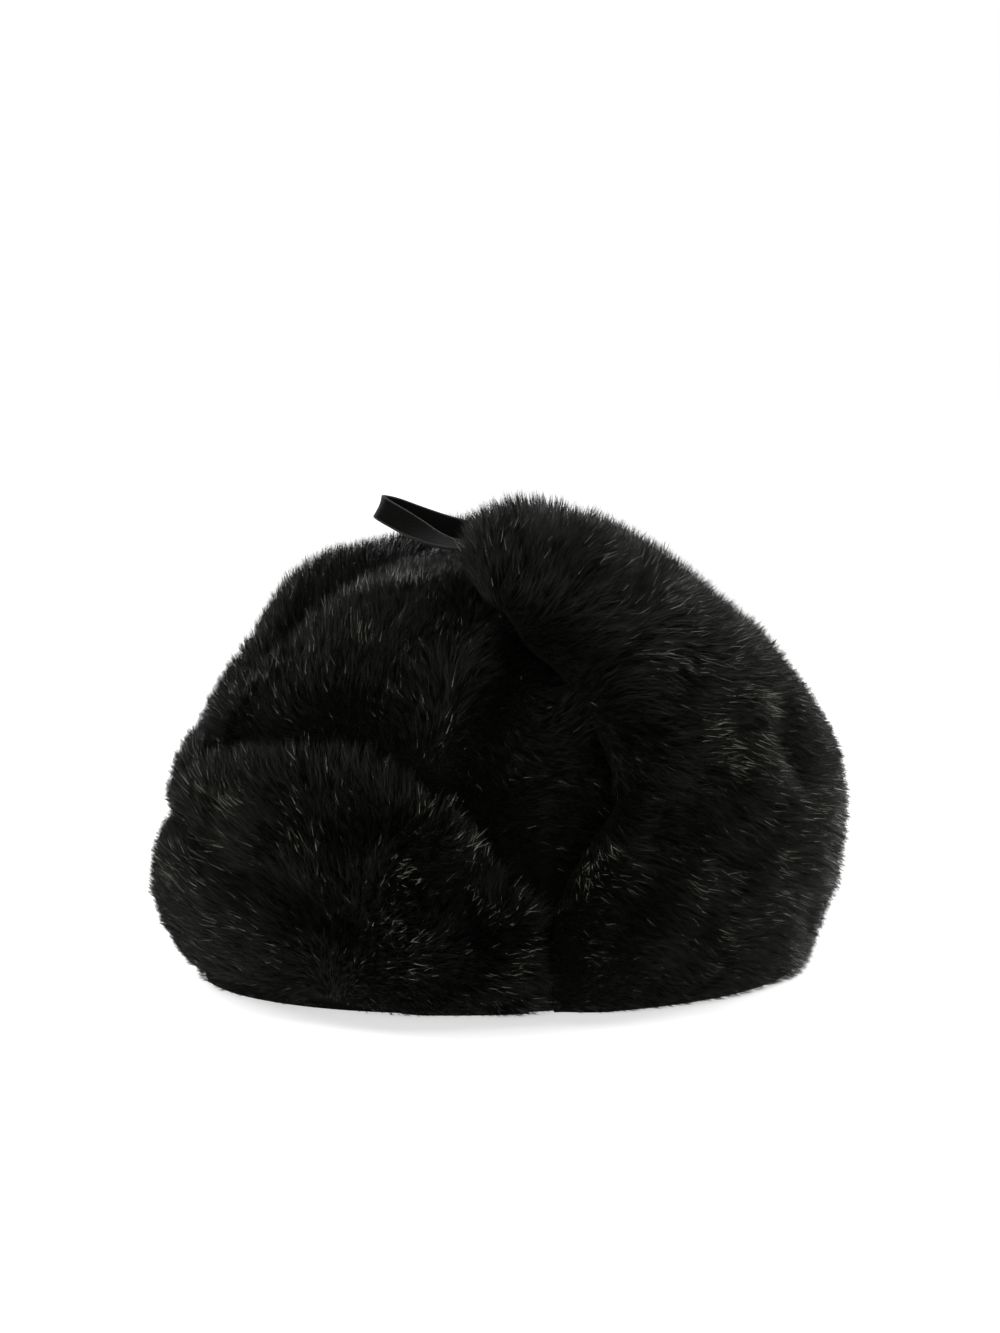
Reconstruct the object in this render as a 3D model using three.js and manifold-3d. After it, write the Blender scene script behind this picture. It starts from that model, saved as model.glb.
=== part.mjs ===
// Ushanka of black plush fur: a domed crown, a turned-up visor, ear and neck flaps tied up over the crown,
// and the velvet ribbon loop that fastens them.
// Millimetres. The front of the hat faces -Y, the wearer's left ear is at +X, up is +Z.
// The rim lies at z = 0.
// A place on the hat is a turn and a drop: the turn in degrees from the front towards the left ear,
// and the drop as the share of the way from the top of the crown (0) down to the rim (1).
import * as THREE from 'three';
import { mergeVertices } from 'three/addons/utils/BufferGeometryUtils.js';
import Module from 'manifold-3d';

const wasm = await Module();
wasm.setup();

// Head opening, and the shape of the skin over it
const openingHalfWidth = 84;
const openingHalfLength = 100;
const hollowHeight = 150;
const wallThickness = 5;
const domeSquareness = 2.25;

// Fur: its height over the skin, how far it is flattened, and its locks
const crownPile = 17;
const rimPile = 3;
const rimRampDrop = 0.6;
const pressedShare = { underEarFlap: 0.66, underNeckFlap: 0.25 };
const pressedInside = 34;
const pressedOutside = 8;
const lockHeight = 4.5;
const lockLean = 5;
const lockSpread = 0.5;
const lockMargin = 9;

// Clearances between neighbouring pieces, and where the hat's middle lies from the head opening's
const layerGap = 0.7;
const rampRoom = 1;
const seatGap = 0.35;
const tailGap = 0.4;
const middleOffset = { x: 0, y: 7 };

// Numbers of cells in each lattice of points
const crownCells = 30;
const visorCells = { columns: 30, rows: 9 };
const flapCells = { columns: 44, rows: 14 };
const ribbonSteps = 26;

// Turned-up visor: its ends, and by turn where its fold and free edge lie
// and how far its fur stands off the skin
const visorEndTurn = 81.2;
const visorFoldLift = 13;
const visorRows = [
  { turn: 0, foldDrop: 0.986, topDrop: 0.7, lift: 20 },
  { turn: 15, foldDrop: 0.986, topDrop: 0.67, lift: 20 },
  { turn: 46, foldDrop: 0.994, topDrop: 0.65, lift: 20.5 },
  { turn: 58, foldDrop: 1, topDrop: 0.7, lift: 20.5 },
  { turn: 70, foldDrop: 1, topDrop: 0.79, lift: 20 },
  { turn: 81, foldDrop: 1, topDrop: 0.89, lift: 17 },
];

// Ear and neck flap: each row runs from the rim by a middle point to the flap's free edge.
// The lifts are those of the outer fur at the rim, the middle and the free edge.
const flapRows = [
  {
    rimTurn: 82, midTurn: 101, midDrop: 0.7, topTurn: 68, topDrop: 0.37,
    rimLift: 13, midLift: 22.5, topLift: 25,
  },
  {
    rimTurn: 92, midTurn: 103, midDrop: 0.65, topTurn: 60, topDrop: 0.27,
    rimLift: 14, midLift: 24.5, topLift: 28,
  },
  {
    rimTurn: 104, midTurn: 107, midDrop: 0.6, topTurn: 66, topDrop: 0.13,
    rimLift: 15, midLift: 25.5, topLift: 28.5,
  },
  {
    rimTurn: 119, midTurn: 118, midDrop: 0.6, topTurn: 140, topDrop: 0.13,
    rimLift: 16, midLift: 31, topLift: 25,
  },
  {
    rimTurn: 138, midTurn: 137, midDrop: 0.66, topTurn: 158, topDrop: 0.33,
    rimLift: 16, midLift: 37, topLift: 23,
  },
  {
    rimTurn: 158, midTurn: 158, midDrop: 0.74, topTurn: 168, topDrop: 0.48,
    rimLift: 17, midLift: 39, topLift: 25,
  },
  {
    rimTurn: 180, midTurn: 180, midDrop: 0.77, topTurn: 180, topDrop: 0.52,
    rimLift: 15, midLift: 39, topLift: 29,
  },
];
const flapMidShare = 0.42;
// The course of the flap's front edge from the rim to its tip, and the share of the flap that it draws along
const flapFront = [
  { up: 0, turn: 82, drop: 1 },
  { up: 0.12, turn: 82.5, drop: 0.89 },
  { up: 0.28, turn: 90, drop: 0.79 },
  { up: 0.4, turn: 95.5, drop: 0.74 },
  { up: 0.52, turn: 94, drop: 0.67 },
  { up: 0.7, turn: 88, drop: 0.55 },
  { up: 0.86, turn: 80.5, drop: 0.46 },
  { up: 1, turn: 67, drop: 0.38 },
];
const flapFrontReach = 0.16;
// The far ear flap is tied a little lower and further back than the near one
const farFlap = { turnShift: 8, dropShift: 0.06, liftShare: 0.82 };

// Folds, dents and seams: the path each one follows over the skin, its half width and how deep it goes
const crownFolds = [
  { path: [[78, 0.95], [70, 0.7], [73, 0.54], [82, 0.44], [95, 0.34]], width: 10, depth: 7 },
  { path: [[61, 0.68], [62, 0.6], [65, 0.52], [69, 0.46], [76, 0.41]], width: 6, depth: -2 },
  { path: [[-1, 0.52], [9, 0.45], [25, 0.36], [43, 0.33], [60, 0.3]], width: 6, depth: -2 },
  { path: [[40, 0.56], [54, 0.53]], width: 16, depth: 4 },
];
const seamValley = { width: 8, depth: 5 };
// The top has sunk in beside the middle seam, under the flap's tip and the ribbon
const crownDents = [
  { path: [[-8, 0.5], [2, 0.38], [14, 0.26], [32, 0.17], [70, 0.12]], width: 12, depth: 11 },
  { path: [[66, 0.1], [12, 0.113]], width: 9, depth: 6 },
];
const crownLeast = 3;
const visorFolds = [
  { path: [[-24, 0.79], [2, 0.825], [22, 0.85], [46, 0.91]], width: 6.5, depth: 6 },
  { path: [[38, 0.78], [50, 0.75]], width: 12, depth: 5 },
  { path: [[61, 0.81], [69, 0.9]], width: 9, depth: 5 },
  { path: [[51, 0.85], [59, 0.75]], width: 8, depth: -3 },
  { path: [[-48, 0.86], [-62, 0.8]], width: 9, depth: 4 },
];
const flapFolds = [
  { path: [[76, 0.42], [86, 0.46], [93, 0.54], [97, 0.62]], width: 6, depth: 6 },
  { path: [[100, 0.78], [98, 0.84], [92, 0.9]], width: 7, depth: 7 },
  { path: [[97, 0.72], [107, 0.75]], width: 5, depth: 4 },
  { path: [[121, 0.62], [121, 0.69], [124, 0.74], [134, 0.77]], width: 8, depth: -5 },
  { path: [[130, 0.67], [131, 0.71]], width: 12, depth: 9 },
  { path: [[160, 0.93], [172, 0.8]], width: 9, depth: 5 },
];

// Ribbon loop: a velvet ribbon folded back on itself, standing on edge, seen from its tails to the fold
const ribbonWidth = 9;
const ribbonThickness = 1.5;
const ribbonRoute = [
  { x: 22, y: -2, z: 161.5, leanSide: -3.2, leanBack: 1.6 },
  { x: 15, y: -8, z: 160, leanSide: -3.2, leanBack: 1.6 },
  { x: 9, y: -16, z: 160.5, leanSide: -2.6, leanBack: 1.4 },
  { x: 4, y: -22, z: 162.5, leanSide: -1.3, leanBack: 1 },
  { x: -1, y: -27.5, z: 166, leanSide: -0.5, leanBack: 0.6 },
  { x: -6, y: -32.5, z: 169.6, leanSide: -0.1, leanBack: 0.5 },
  { x: -11, y: -37, z: 173, leanSide: 0, leanBack: 0.5 },
  { x: -14.5, y: -36.5, z: 174, leanSide: 0, leanBack: 0.5 },
  { x: -14, y: -31, z: 173, leanSide: -0.1, leanBack: 0.4 },
  { x: -11.5, y: -22.5, z: 169.8, leanSide: -0.1, leanBack: 0.35 },
  { x: -7.5, y: -13, z: 166.3, leanSide: 0, leanBack: 0.35 },
  { x: -3, y: -3, z: 163.5, leanSide: 0.1, leanBack: 0.35 },
];

const skinHalfWidth = openingHalfWidth + wallThickness;
const skinHalfLength = openingHalfLength + wallThickness;
const skinHeight = hollowHeight + wallThickness;
const skinReach = skinHeight;

const fur = new THREE.MeshStandardMaterial({ color: 0x0b0b0a, roughness: 0.85, metalness: 0 });
const velvet = new THREE.MeshStandardMaterial({ color: 0x141414, roughness: 0.95, metalness: 0 });

const smooth = (low, high, value) => THREE.MathUtils.smoothstep(value, low, high);
const mix = THREE.MathUtils.lerp;

// A place in the flat plan of the dome, where the distance from the middle is the drop
function plan(turn, drop) {
  const angle = THREE.MathUtils.degToRad(turn);
  return new THREE.Vector2(drop * Math.sin(angle), -drop * Math.cos(angle));
}

const turnOf = (place) => THREE.MathUtils.radToDeg(Math.atan2(place.x, -place.y));

// The skin's surface is a squared-off dome; lift is the distance from it along its normal
function domeFrame(place) {
  const drop = place.length();
  const polar = Math.min(drop, 1) * Math.PI / 2;
  const power = 2 / domeSquareness;
  const spread = Math.sin(polar) ** power;
  const side = drop > 0 ? place.x / drop : 0;
  const back = drop > 0 ? place.y / drop : 0;
  const rise = drop < 1 ? Math.cos(polar) ** power : 0;
  const point = new THREE.Vector3(
    skinHalfWidth * spread * side,
    skinHalfLength * spread * back,
    skinHeight * rise,
  );
  const flank = spread ** (domeSquareness - 1);
  const normal = new THREE.Vector3(
    flank * side / skinHalfWidth,
    flank * back / skinHalfLength,
    rise ** (domeSquareness - 1) / skinHeight,
  ).normalize();
  return { point, normal };
}

function domePoint(place, lift) {
  const { point, normal } = domeFrame(place);
  return point.addScaledVector(normal, lift);
}

// Downhill direction along the skin, the way the crown's nap lies
function downhill(place, normal) {
  const outward = new THREE.Vector3(place.x, place.y, -0.25);
  return outward.addScaledVector(normal, -outward.dot(normal)).normalize();
}

function foldPaths(folds) {
  return folds.map(({ path, width, depth }) => ({
    width,
    depth,
    corners: path.map(([turn, drop]) => domePoint(plan(turn, drop), 0)),
  }));
}

// How deep the folds are at a point of the skin
function foldDepth(paths, point) {
  let total = 0;
  const nearest = new THREE.Vector3();
  for (const { corners, width, depth } of paths) {
    let distance = Infinity;
    for (let k = 0; k + 1 < corners.length; k += 1) {
      new THREE.Line3(corners[k], corners[k + 1]).closestPointToPoint(point, true, nearest);
      distance = Math.min(distance, nearest.distanceTo(point));
    }
    total += depth * Math.exp(-((distance / width) ** 2));
  }
  return total;
}

const crownPaths = foldPaths(crownFolds);
const dentPaths = foldPaths(crownDents);
const visorPaths = foldPaths(visorFolds);
const flapPaths = foldPaths(flapFolds);

// A value read from the rows of a table at a given turn, on a smooth curve through them
function readRows(rows, key, column, at) {
  const last = rows.length - 1;
  let k = 0;
  while (k < last - 1 && at > rows[k + 1][key]) k += 1;
  const share = THREE.MathUtils.clamp((at - rows[k][key]) / (rows[k + 1][key] - rows[k][key]), 0, 1);
  const slopeAt = (row) => {
    const before = rows[Math.max(row - 1, 0)];
    const after = rows[Math.min(row + 1, last)];
    return (after[column] - before[column]) / (after[key] - before[key]);
  };
  const span = rows[k + 1][key] - rows[k][key];
  const a = rows[k][column];
  const b = rows[k + 1][column];
  const s2 = share * share;
  const s3 = s2 * share;
  return (2 * s3 - 3 * s2 + 1) * a + (s3 - 2 * s2 + share) * span * slopeAt(k)
    + (3 * s2 - 2 * s3) * b + (s3 - s2) * span * slopeAt(k + 1);
}

// The visor's place in plan: across from end to end, up from the fold at the rim to its free edge
function visorPlace(across, up) {
  const turn = mix(-visorEndTurn, visorEndTurn, across);
  const read = (column) => readRows(visorRows, 'turn', column, Math.abs(turn));
  return plan(turn, mix(read('foldDrop'), read('topDrop'), up));
}

// The flap's place in plan: across from the near front edge round the back to the far one
function flapRow(across) {
  const rimTurn = mix(flapRows[0].rimTurn, 360 - flapRows[0].rimTurn, across);
  const near = rimTurn <= 180;
  const at = near ? rimTurn : 360 - rimTurn;
  const read = (column) => readRows(flapRows, 'rimTurn', column, at);
  const earShare = near ? 0 : 1 - smooth(120, 170, at);
  const rimPlan = plan(at, 1);
  const midPlan = plan(read('midTurn') + farFlap.turnShift * earShare, read('midDrop'));
  const topPlans = flapRows.map((row) => plan(row.topTurn, row.topDrop));
  const topTable = flapRows.map((row, k) => ({ rimTurn: row.rimTurn, x: topPlans[k].x, y: topPlans[k].y }));
  const topPlan = new THREE.Vector2(
    readRows(topTable, 'rimTurn', 'x', at),
    readRows(topTable, 'rimTurn', 'y', at),
  );
  topPlan.x += farFlap.dropShift * 2 * earShare;
  topPlan.y += farFlap.dropShift * earShare;
  const side = near ? 1 : -1;
  for (const corner of [rimPlan, midPlan, topPlan]) corner.x *= side;
  const shrink = mix(1, farFlap.liftShare, earShare);
  return {
    rimPlan,
    midPlan,
    topPlan,
    rimLift: read('rimLift'),
    midLift: read('midLift') * shrink,
    topLift: read('topLift') * shrink,
  };
}

// The curve through a row's three places, at shares 0, flapMidShare and 1 of the way up
function throughThree(low, middle, high, up) {
  const m = flapMidShare;
  const lowWeight = (up - m) * (up - 1) / m;
  const midWeight = up * (up - 1) / (m * (m - 1));
  const highWeight = up * (up - m) / (1 - m);
  return lowWeight * low + midWeight * middle + highWeight * high;
}

function alongRow({ rimPlan, midPlan, topPlan }, up) {
  return new THREE.Vector2(
    throughThree(rimPlan.x, midPlan.x, topPlan.x, up),
    throughThree(rimPlan.y, midPlan.y, topPlan.y, up),
  );
}

const flapFrontPlans = flapFront.map(({ up, turn, drop }) => {
  const { x, y } = plan(turn, drop);
  return { up, x, y };
});

function flapPlace(across, up) {
  const front = new THREE.Vector2(
    readRows(flapFrontPlans, 'up', 'x', up),
    readRows(flapFrontPlans, 'up', 'y', up),
  );
  const shift = front.sub(alongRow(flapRow(0), up));
  shift.multiplyScalar(1 - smooth(0, flapFrontReach, Math.min(across, 1 - across)));
  if (across > 0.5) shift.x = -shift.x;
  return alongRow(flapRow(across), up).add(shift);
}

// Outline of a piece in plan, for working out where the crown's fur lies under it
function footprint(placeAt, steps) {
  const outline = [];
  for (let k = 0; k < steps; k += 1) outline.push(placeAt(k / steps, 0));
  for (let k = 0; k < steps; k += 1) outline.push(placeAt(1, k / steps));
  for (let k = 0; k < steps; k += 1) outline.push(placeAt(1 - k / steps, 1));
  for (let k = 0; k < steps; k += 1) outline.push(placeAt(0, 1 - k / steps));
  return outline;
}

const footprintSteps = 40;
const footprints = [footprint(visorPlace, footprintSteps), footprint(flapPlace, footprintSteps)];

// Distance in millimetres that a place lies outside an outline, below zero inside it
function distanceOutside(place, outline) {
  let inside = false;
  let distance = Infinity;
  for (let k = 0; k < outline.length; k += 1) {
    const a = outline[k];
    const b = outline[(k + 1) % outline.length];
    if ((a.y > place.y) !== (b.y > place.y)
      && place.x < a.x + (b.x - a.x) * (place.y - a.y) / (b.y - a.y)) inside = !inside;
    const edge = b.clone().sub(a);
    const share = place.clone().sub(a).dot(edge) / Math.max(edge.lengthSq(), 1e-9);
    const along = THREE.MathUtils.clamp(share, 0, 1);
    distance = Math.min(distance, place.distanceTo(a.clone().addScaledVector(edge, along)));
  }
  return (inside ? -distance : distance) * skinReach;
}

// How far a place on the crown lies outside the visor and the flap
function openDistance(place) {
  return Math.min(...footprints.map((outline) => distanceOutside(place, outline)));
}

const coverAt = (place) => 1 - smooth(-pressedInside, pressedOutside, openDistance(place));

// The room between the crown's fur and a flap over it, a little more where the fur rises steeply
function layerRoom(place) {
  const cover = coverAt(place);
  return layerGap + 4 * rampRoom * cover * (1 - cover);
}

function crownLift(place) {
  const cover = coverAt(place);
  const { point } = domeFrame(place);
  const neckShare = smooth(115, 150, Math.abs(turnOf(place))) * smooth(0.15, 0.6, place.length());
  const pressed = crownPile * (1 - mix(pressedShare.underEarFlap, pressedShare.underNeckFlap, neckShare));
  const valley = seamValley.depth * Math.exp(-((point.x / seamValley.width) ** 2)) * smooth(10, 60, point.z);
  const folded = new THREE.Vector3(Math.abs(point.x), point.y, point.z);
  const sunk = valley + foldDepth(crownPaths, folded) + foldDepth(dentPaths, point);
  const open = Math.max(crownPile - sunk, crownLeast);
  return mix(mix(open, pressed, cover), rimPile, smooth(rimRampDrop, 1, place.length()));
}

// Every third point of a lattice is the tip of a lock, so that each tip is ringed by six lower points
const isTip = (i, j) => (((i - j) % 3) + 3) % 3 === 0;
const vary = (i, j) => 1 + lockSpread * Math.sin(i * 12.9 + j * 78.2 + i * j * 3.7);

// A closed body between an outer and an inner lattice of points, joined round their borders
function closedBody(columns, rows, outerAt, innerAt) {
  const layer = (columns + 1) * (rows + 1);
  const positions = [];
  for (const pointAt of [outerAt, innerAt]) {
    for (let j = 0; j <= rows; j += 1) {
      for (let i = 0; i <= columns; i += 1) positions.push(...pointAt(i, j).toArray());
    }
  }
  const at = (i, j) => j * (columns + 1) + i;
  const triangles = [];
  for (let j = 0; j < rows; j += 1) {
    for (let i = 0; i < columns; i += 1) {
      const [a, b, c, d] = [at(i, j), at(i + 1, j), at(i + 1, j + 1), at(i, j + 1)];
      triangles.push(a, b, d, b, c, d);
      triangles.push(a + layer, d + layer, b + layer, b + layer, d + layer, c + layer);
    }
  }
  const border = [];
  for (let i = 0; i < columns; i += 1) border.push(at(i, 0));
  for (let j = 0; j < rows; j += 1) border.push(at(columns, j));
  for (let i = columns; i > 0; i -= 1) border.push(at(i, rows));
  for (let j = rows; j > 0; j -= 1) border.push(at(0, j));
  border.forEach((p, k) => {
    const q = border[(k + 1) % border.length];
    triangles.push(q, p, p + layer, q, p + layer, q + layer);
  });
  const geometry = new THREE.BufferGeometry();
  geometry.setAttribute('position', new THREE.Float32BufferAttribute(positions, 3));
  geometry.setIndex(triangles);
  return geometry;
}

// The square lattice laid over the whole dome, ring by ring, with its border on the rim
function crownPlace(i, j) {
  const x = 2 * i / crownCells - 1;
  const y = 2 * j / crownCells - 1;
  const ring = Math.max(Math.abs(x), Math.abs(y));
  if (ring === 0) return new THREE.Vector2(0, 0);
  const onSide = Math.abs(x) > Math.abs(y);
  const middleTurn = onSide ? 90 * Math.sign(x) : 90 + 90 * Math.sign(y);
  return plan(middleTurn + 45 * (onSide ? y / x : -x / y), ring);
}

function crownGeometry(grow) {
  const outerAt = (i, j) => {
    const place = crownPlace(i, j);
    const point = domePoint(place, crownLift(place) + grow);
    const open = smooth(lockMargin, 2 * lockMargin, openDistance(place));
    if (isTip(i, j)) {
      const { normal } = domeFrame(place);
      point.addScaledVector(normal, lockHeight * vary(i, j) * open);
      point.addScaledVector(downhill(place, normal), lockLean * open);
    }
    return point;
  };
  const innerAt = (i, j) => domePoint(crownPlace(i, j), -wallThickness);
  return closedBody(crownCells, crownCells, outerAt, innerAt);
}

// Share of a flap's full thickness at a share of the way up: rounded at the free edge
const edgeRound = (up) => 1 - 0.5 * smooth(0.86, 1, up);

// Share of a flap's swelling above its fold, full at the share of the way up given
const swell = (up, full) => 1 - (1 - Math.min(up / full, 1)) ** 2;

function leanUp(place, normal) {
  return downhill(place, normal).negate();
}

function flapSheet({ columns, rows }, placeAt, liftAt, paths, grow) {
  const placeOf = (i, j) => placeAt(i / columns, j / rows);
  const innerAt = (i, j) => {
    const place = placeOf(i, j);
    return domePoint(place, crownLift(place) + layerRoom(place) - grow);
  };
  const outerAt = (i, j) => {
    const place = placeOf(i, j);
    const { point: base, normal } = domeFrame(place);
    const inner = crownLift(place) + layerRoom(place);
    const full = liftAt(i / columns, j / rows) - foldDepth(paths, base) * smooth(0, 0.12, j / rows);
    const endRound = 1 - 0.35 * (1 - smooth(0, 0.05, Math.min(i, columns - i) / columns));
    const lift = inner + (full - inner) * edgeRound(j / rows) * endRound;
    const point = domePoint(place, lift + grow);
    const atBorder = i === 0 || i === columns || j === 0 || j === rows;
    if (isTip(i, j) && !atBorder) {
      const fade = smooth(0, 0.15, j / rows);
      point.addScaledVector(normal, lockHeight * vary(i, j) * (0.4 + 0.6 * fade));
      point.addScaledVector(leanUp(place, normal), lockLean * fade);
    }
    return point;
  };
  return closedBody(columns, rows, outerAt, innerAt);
}

function visorGeometry() {
  const liftAt = (across, up) => {
    const turn = Math.abs(mix(-visorEndTurn, visorEndTurn, across));
    return mix(visorFoldLift, readRows(visorRows, 'turn', 'lift', turn), swell(up, 0.3));
  };
  return flapSheet(visorCells, visorPlace, liftAt, visorPaths, 0);
}

function flapGeometry(grow) {
  const liftAt = (across, up) => {
    const { rimLift, midLift, topLift } = flapRow(across);
    return mix(mix(rimLift, midLift, swell(up, 0.42)), topLift, smooth(0.45, 0.95, up));
  };
  return flapSheet(flapCells, flapPlace, liftAt, flapPaths, grow);
}

// A flat ribbon on edge along its route; the leans tip its width from upright towards +X and +Y
function ribbonGeometry() {
  const route = new THREE.CatmullRomCurve3(ribbonRoute.map(({ x, y, z }) => new THREE.Vector3(x, y, z)));
  const section = (k) => {
    const share = k / ribbonSteps;
    const centre = route.getPoint(share);
    const along = route.getTangent(share);
    const slot = share * (ribbonRoute.length - 1);
    const low = Math.min(Math.floor(slot), ribbonRoute.length - 2);
    const lean = (column) => mix(ribbonRoute[low][column], ribbonRoute[low + 1][column], slot - low);
    const across = new THREE.Vector3(lean('leanSide'), lean('leanBack'), 1);
    across.addScaledVector(along, -across.dot(along)).normalize();
    const outward = new THREE.Vector3().crossVectors(along, across);
    return { centre, across, outward };
  };
  const pointAt = (side) => (i, j) => {
    const { centre, across, outward } = section(i);
    const point = centre.clone().addScaledVector(across, (j - 0.5) * ribbonWidth);
    return point.addScaledVector(outward, side * ribbonThickness / 2);
  };
  return closedBody(ribbonSteps, 1, pointAt(1), pointAt(-1));
}

function toSolid(geometry) {
  const plain = new THREE.BufferGeometry();
  plain.setAttribute('position', geometry.getAttribute('position'));
  plain.setIndex(geometry.getIndex());
  const merged = mergeVertices(plain, 1e-4);
  return new wasm.Manifold(new wasm.Mesh({
    numProp: 3,
    vertProperties: new Float32Array(merged.getAttribute('position').array),
    triVerts: new Uint32Array(merged.getIndex().array),
  }));
}

function toGeometry(solid) {
  const { vertProperties, triVerts } = solid.getMesh();
  const geometry = new THREE.BufferGeometry();
  geometry.setAttribute('position', new THREE.BufferAttribute(new Float32Array(vertProperties), 3));
  geometry.setIndex(new THREE.BufferAttribute(new Uint32Array(triVerts), 1));
  return geometry;
}

// The largest body left of a piece once the room of its neighbours is cut away
function clearOf(geometry, rooms) {
  const left = rooms.reduce((solid, room) => solid.subtract(room), toSolid(geometry));
  return toGeometry(left.decompose().sort((a, b) => b.volume() - a.volume())[0]);
}

function piece(name, geometry, material) {
  geometry.computeVertexNormals();
  const mesh = new THREE.Mesh(geometry, material.clone());
  mesh.name = name;
  return mesh;
}

const crownRoom = toSolid(crownGeometry(seatGap));
const flapRoom = toSolid(flapGeometry(seatGap));

// The ribbon's lower edge rests on the crown's fur, and its tails end against the flap's tip
const ribbon = clearOf(ribbonGeometry(), [crownRoom, flapRoom]);
ribbon.translate(-tailGap * 0.6, -tailGap * 0.8, tailGap);

const hat = new THREE.Group();
hat.name = 'ushanka';
hat.add(
  piece('crown', crownGeometry(0), fur),
  piece('visor', clearOf(visorGeometry(), [crownRoom]), fur),
  piece('ear_neck_flap', clearOf(flapGeometry(0), [crownRoom]), fur),
  piece('strap_loop', ribbon, velvet),
);
hat.position.set(-middleOffset.x, -middleOffset.y, 0);

export default hat;
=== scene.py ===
import math

import bpy
import numpy as np
from mathutils import Matrix, Vector


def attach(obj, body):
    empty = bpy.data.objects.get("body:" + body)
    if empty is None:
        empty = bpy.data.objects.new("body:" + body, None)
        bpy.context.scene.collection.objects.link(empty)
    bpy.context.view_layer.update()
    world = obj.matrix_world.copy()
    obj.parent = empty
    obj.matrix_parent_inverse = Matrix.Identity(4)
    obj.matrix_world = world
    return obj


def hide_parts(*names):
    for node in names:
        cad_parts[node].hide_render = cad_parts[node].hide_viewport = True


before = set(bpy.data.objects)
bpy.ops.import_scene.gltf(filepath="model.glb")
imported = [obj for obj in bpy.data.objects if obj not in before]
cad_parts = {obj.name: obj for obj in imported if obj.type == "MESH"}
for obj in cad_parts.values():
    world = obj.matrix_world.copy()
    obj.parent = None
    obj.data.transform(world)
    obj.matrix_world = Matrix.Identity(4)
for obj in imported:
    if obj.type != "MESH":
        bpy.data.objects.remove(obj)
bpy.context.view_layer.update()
print("frame loaded")

# Metres. The front of the hat faces -Y, the wearer's left ear is at +X, and the rim lies on the floor.
# A place on the hat is a turn and a drop: the turn in degrees from the front towards the left ear,
# and the drop as the share of the way from the top of the crown (0) down to the rim (1).
hat = {
    "skinHalfWidth": 0.089,
    "skinHalfLength": 0.105,
    "skinHeight": 0.155,
    "wall": 0.005,
    "squareness": 2.25,
    "layerGap": 0.0012,
    "middle": (0.0, 0.007, 0.0),  # where the middle of the whole hat lies from the head opening's
    "floorGap": 0.0004,
}


# The camera stands where the photographer's stood, at the wearer's left and a little to the front

camera = {
    "turn": 68.0,
    "rise": 5.0,
    "distance": 1.195,
    "lens": 85.0,
    "sensor": 36.0,
    "metresPerPixel": 0.00038,
    "hatFoot": (486, 965),  # pixel of the head opening's centre, in an image of 1000 x 1333
    "imageMiddle": (500, 666.5),
}


def makeCamera():
    turn, rise = math.radians(camera["turn"]), math.radians(camera["rise"])
    back = Vector((math.sin(turn) * math.cos(rise), -math.cos(turn) * math.cos(rise), math.sin(rise)))
    right = Vector((math.cos(turn), math.sin(turn), 0))
    up = back.cross(right)
    across, down = (m - f for m, f in zip(camera["imageMiddle"], camera["hatFoot"]))
    scale = camera["metresPerPixel"]
    place = back * camera["distance"] + right * across * scale - up * down * scale
    place -= Vector(hat["middle"])
    data = bpy.data.cameras.new("photoCamera")
    data.lens = camera["lens"]
    data.sensor_width = camera["sensor"]
    eye = bpy.data.objects.new("photoCamera", data)
    eye.matrix_world = Matrix.Translation(place) @ Matrix((right, up, back)).transposed().to_4x4()
    bpy.context.scene.collection.objects.link(eye)
    bpy.context.scene.camera = eye


makeCamera()
print("camera placed")


# Small tools for tables, curves and meshes

def smoothStep(low, high, value):
    t = np.clip((value - low) / (high - low), 0, 1)
    return t * t * (3 - 2 * t)


def mix(a, b, share):
    return a + (b - a) * share


def readTable(keys, values, at):
    # a smooth curve through a column of a table, read at many places
    keys, values = np.array(keys, float), np.array(values, float)
    slopes = np.empty_like(values)
    slopes[1:-1] = (values[2:] - values[:-2]) / (keys[2:] - keys[:-2])
    slopes[0] = (values[1] - values[0]) / (keys[1] - keys[0])
    slopes[-1] = (values[-1] - values[-2]) / (keys[-1] - keys[-2])
    at = np.clip(at, keys[0], keys[-1])
    k = np.clip(np.searchsorted(keys, at, side="right") - 1, 0, len(keys) - 2)
    span = keys[k + 1] - keys[k]
    t = (at - keys[k]) / span
    t2, t3 = t * t, t * t * t
    return ((2 * t3 - 3 * t2 + 1) * values[k] + (t3 - 2 * t2 + t) * span * slopes[k]
            + (3 * t2 - 2 * t3) * values[k + 1] + (t3 - t2) * span * slopes[k + 1])


def column(rows, name):
    return [row[name] for row in rows]


def unit(vectors):
    return vectors / np.maximum(np.linalg.norm(vectors, axis=-1, keepdims=True), 1e-12)


def dot(a, b):
    return (a * b).sum(-1, keepdims=True)


def alongSkin(vectors, normal):
    return unit(vectors - normal * dot(vectors, normal))


def backward(place, normal):
    # along the skin round the hat, from its front towards its back on either side
    turn = np.radians(turnOf(place))
    side = np.where(turn < 0, -1, 1)
    return alongSkin(np.stack([side * np.cos(turn), side * np.sin(turn), 0 * turn], -1), normal)


def plan(turn, drop):
    # the flat plan of the dome, with the top of the crown in its middle
    angle = np.radians(turn)
    return np.stack([drop * np.sin(angle), -drop * np.cos(angle)], -1)


def turnOf(place):
    return np.degrees(np.arctan2(place[..., 0], -place[..., 1]))


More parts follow.
